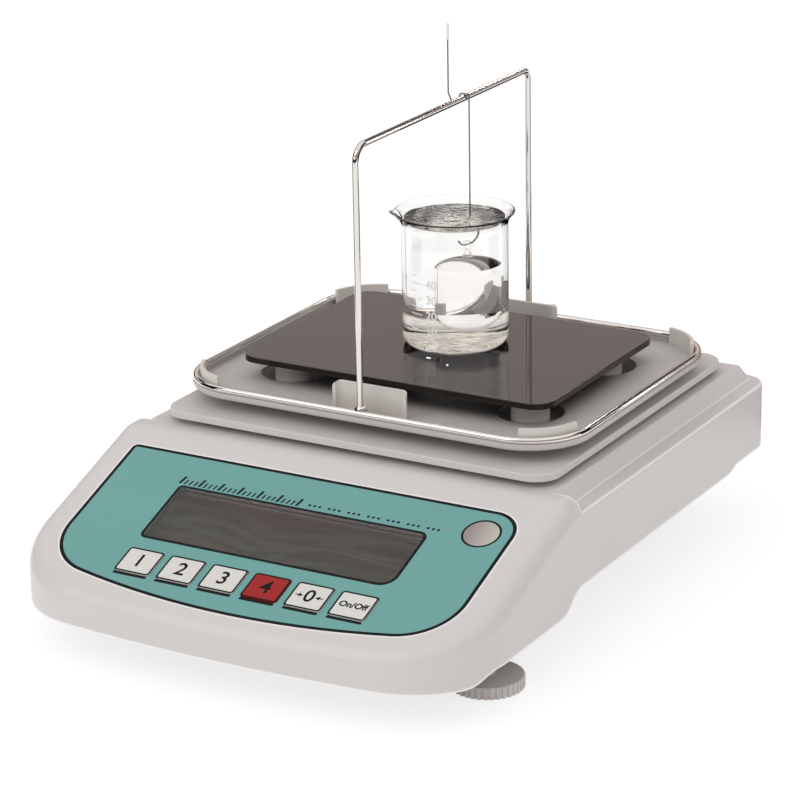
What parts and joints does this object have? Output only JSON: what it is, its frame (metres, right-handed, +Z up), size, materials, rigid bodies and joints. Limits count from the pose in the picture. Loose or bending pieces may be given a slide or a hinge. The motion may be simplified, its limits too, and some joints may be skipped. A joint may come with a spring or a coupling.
{
  "type": "benchtop density meter",
  "caption": "Top-pan balance with sloped key panel, wire bridge on the pan, and a fixed stand that holds a beaker round a hanging glass sinker.",
  "frame": {"origin": "on the bench, under the middle of the whole object", "axes": "+Z up, +Y from the control panel to the rear, +X to the user's right"},
  "size_m": [0.216, 0.293, 0.2286],
  "materials": {
    "housing_plastic": "light warm grey moulded plastic, fine spark texture",
    "base_plastic": "light grey moulded plastic",
    "screw_steel": "zinc plated",
    "panel_print": "turquoise printed film with a black border",
    "window_clear": "clear acrylic",
    "display_grey": "grey-green liquid crystal display",
    "circuit_board": "green solder mask",
    "level_glass": "clear vial",
    "socket_black": "black moulded",
    "socket_metal": "plated shell",
    "cell_aluminium": "machined",
    "spider_metal": "cast, plain",
    "pad_rubber": "matt",
    "tray_paint": "light grey fine paint",
    "wire_chrome": "bright plated wire",
    "lug_paint": "light grey paint",
    "plate_paint": "grey-taupe paint",
    "post_plastic": "grey moulded",
    "acrylic_dark": "dark taupe polished acrylic",
    "beaker_glass": "clear borosilicate",
    "wire_steel": "drawn stainless wire",
    "key_white": "off-white with a dark outline",
    "key_red": "red with a dark outline",
    "foot_plastic": "grey moulded, ribbed edge"
  },
  "bodies": {
    "housing": {"top_cover": "housing_plastic", "base_cover": "base_plastic", "cover_screws": "screw_steel", "panel_film": "panel_print", "display_window": "window_clear", "display_module": "display_grey", "keypad_board": "circuit_board", "level_lens": "window_clear", "level_vial": "level_glass", "main_board": "circuit_board", "dc_jack": "socket_black", "serial_port": "socket_metal", "load_cell": "cell_aluminium", "overload_stop": "screw_steel", "deck_plate": "plate_paint", "stand_posts": "post_plastic", "stand_plate": "acrylic_dark"},
    "pan": {"pan_spindle": "cell_aluminium", "pan_spider": "spider_metal", "pan_bushes": "pad_rubber", "pan_tray": "tray_paint", "rim_wire": "wire_chrome", "corner_lugs": "lug_paint", "front_lug": "lug_paint", "rear_lug": "lug_paint", "wire_bridge": "wire_chrome"},
    "hanger": {"hanger_wire": "wire_steel", "hanger_sleeve": "wire_steel"},
    "sinker": {"glass_sinker": "beaker_glass"},
    "beaker": {"beaker": "beaker_glass"},
    "key_1": {"key_1": "key_white"},
    "key_2": {"key_2": "key_white"},
    "key_3": {"key_3": "key_white"},
    "key_4": {"key_4": "key_red"},
    "key_5": {"key_5": "key_white"},
    "key_6": {"key_6": "key_white"},
    "foot_pad_front_left": {"foot_pad_front_left": "pad_rubber"},
    "foot_disc_front_left": {"foot_disc_front_left": "foot_plastic"},
    "foot_pad_front_right": {"foot_pad_front_right": "pad_rubber"},
    "foot_disc_front_right": {"foot_disc_front_right": "foot_plastic"},
    "foot_pad_rear_left": {"foot_pad_rear_left": "pad_rubber"},
    "foot_disc_rear_left": {"foot_disc_rear_left": "foot_plastic"},
    "foot_pad_rear_right": {"foot_pad_rear_right": "pad_rubber"},
    "foot_disc_rear_right": {"foot_disc_rear_right": "foot_plastic"}
  },
  "joints": [
    {"name": "key_1_press", "type": "slide", "parent": "housing", "child": "key_1", "axis": [0, -0.3437, 0.9391], "range_m": [-0.0006, 0], "stiffness_N_per_m": 700, "springref_m": 0.001},
    {"name": "key_2_press", "type": "slide", "parent": "housing", "child": "key_2", "axis": [0, -0.3437, 0.9391], "range_m": [-0.0006, 0], "stiffness_N_per_m": 700, "springref_m": 0.001},
    {"name": "key_3_press", "type": "slide", "parent": "housing", "child": "key_3", "axis": [0, -0.3437, 0.9391], "range_m": [-0.0006, 0], "stiffness_N_per_m": 700, "springref_m": 0.001},
    {"name": "key_4_press", "type": "slide", "parent": "housing", "child": "key_4", "axis": [0, -0.3437, 0.9391], "range_m": [-0.0006, 0], "stiffness_N_per_m": 700, "springref_m": 0.001},
    {"name": "key_5_press", "type": "slide", "parent": "housing", "child": "key_5", "axis": [0, -0.3437, 0.9391], "range_m": [-0.0006, 0], "stiffness_N_per_m": 700, "springref_m": 0.001},
    {"name": "key_6_press", "type": "slide", "parent": "housing", "child": "key_6", "axis": [0, -0.3437, 0.9391], "range_m": [-0.0006, 0], "stiffness_N_per_m": 700, "springref_m": 0.001},
    {"name": "pan_load", "type": "slide", "parent": "housing", "child": "pan", "axis": [0, 0, 1], "range_m": [-0.0003, 0], "stiffness_N_per_m": 12000, "springref_m": 0.0007},
    {"name": "hanger_lift", "type": "slide", "parent": "pan", "child": "hanger", "axis": [0, 0, 1], "range_m": [0, 0.045]},
    {"name": "sinker_swing", "type": "hinge", "parent": "hanger", "child": "sinker", "pos_m": [0.00197, 0.0584, 0.1332], "axis": [0, 1, 0], "range_deg": [-4, 4]},
    {"name": "beaker_lift", "type": "slide", "parent": "housing", "child": "beaker", "axis": [0, 0, 1], "range_m": [0, 0.0018]},
    {"name": "foot_travel_front_left", "type": "slide", "parent": "housing", "child": "foot_pad_front_left", "axis": [0, 0, 1], "range_m": [-0.006, 0]},
    {"name": "foot_turn_front_left", "type": "hinge", "parent": "foot_pad_front_left", "child": "foot_disc_front_left", "pos_m": [-0.0902, -0.0863, 0], "axis": [0, 0, 1], "range_deg": [-2160, 0]},
    {"name": "foot_travel_front_right", "type": "slide", "parent": "housing", "child": "foot_pad_front_right", "axis": [0, 0, 1], "range_m": [-0.006, 0]},
    {"name": "foot_turn_front_right", "type": "hinge", "parent": "foot_pad_front_right", "child": "foot_disc_front_right", "pos_m": [0.0902, -0.0863, 0], "axis": [0, 0, 1], "range_deg": [-2160, 0]},
    {"name": "foot_travel_rear_left", "type": "slide", "parent": "housing", "child": "foot_pad_rear_left", "axis": [0, 0, 1], "range_m": [-0.006, 0]},
    {"name": "foot_turn_rear_left", "type": "hinge", "parent": "foot_pad_rear_left", "child": "foot_disc_rear_left", "pos_m": [-0.051, 0.117, 0], "axis": [0, 0, 1], "range_deg": [-2160, 0]},
    {"name": "foot_travel_rear_right", "type": "slide", "parent": "housing", "child": "foot_pad_rear_right", "axis": [0, 0, 1], "range_m": [-0.006, 0]},
    {"name": "foot_turn_rear_right", "type": "hinge", "parent": "foot_pad_rear_right", "child": "foot_disc_rear_right", "pos_m": [0.051, 0.117, 0], "axis": [0, 0, 1], "range_deg": [-2160, 0]}
  ],
  "couplings": [
    {"joint": "foot_travel_front_left", "follows": "foot_turn_front_left", "m_per_rad": 0.000159},
    {"joint": "foot_travel_front_right", "follows": "foot_turn_front_right", "m_per_rad": 0.000159},
    {"joint": "foot_travel_rear_left", "follows": "foot_turn_rear_left", "m_per_rad": 0.000159},
    {"joint": "foot_travel_rear_right", "follows": "foot_turn_rear_right", "m_per_rad": 0.000159}
  ]
}
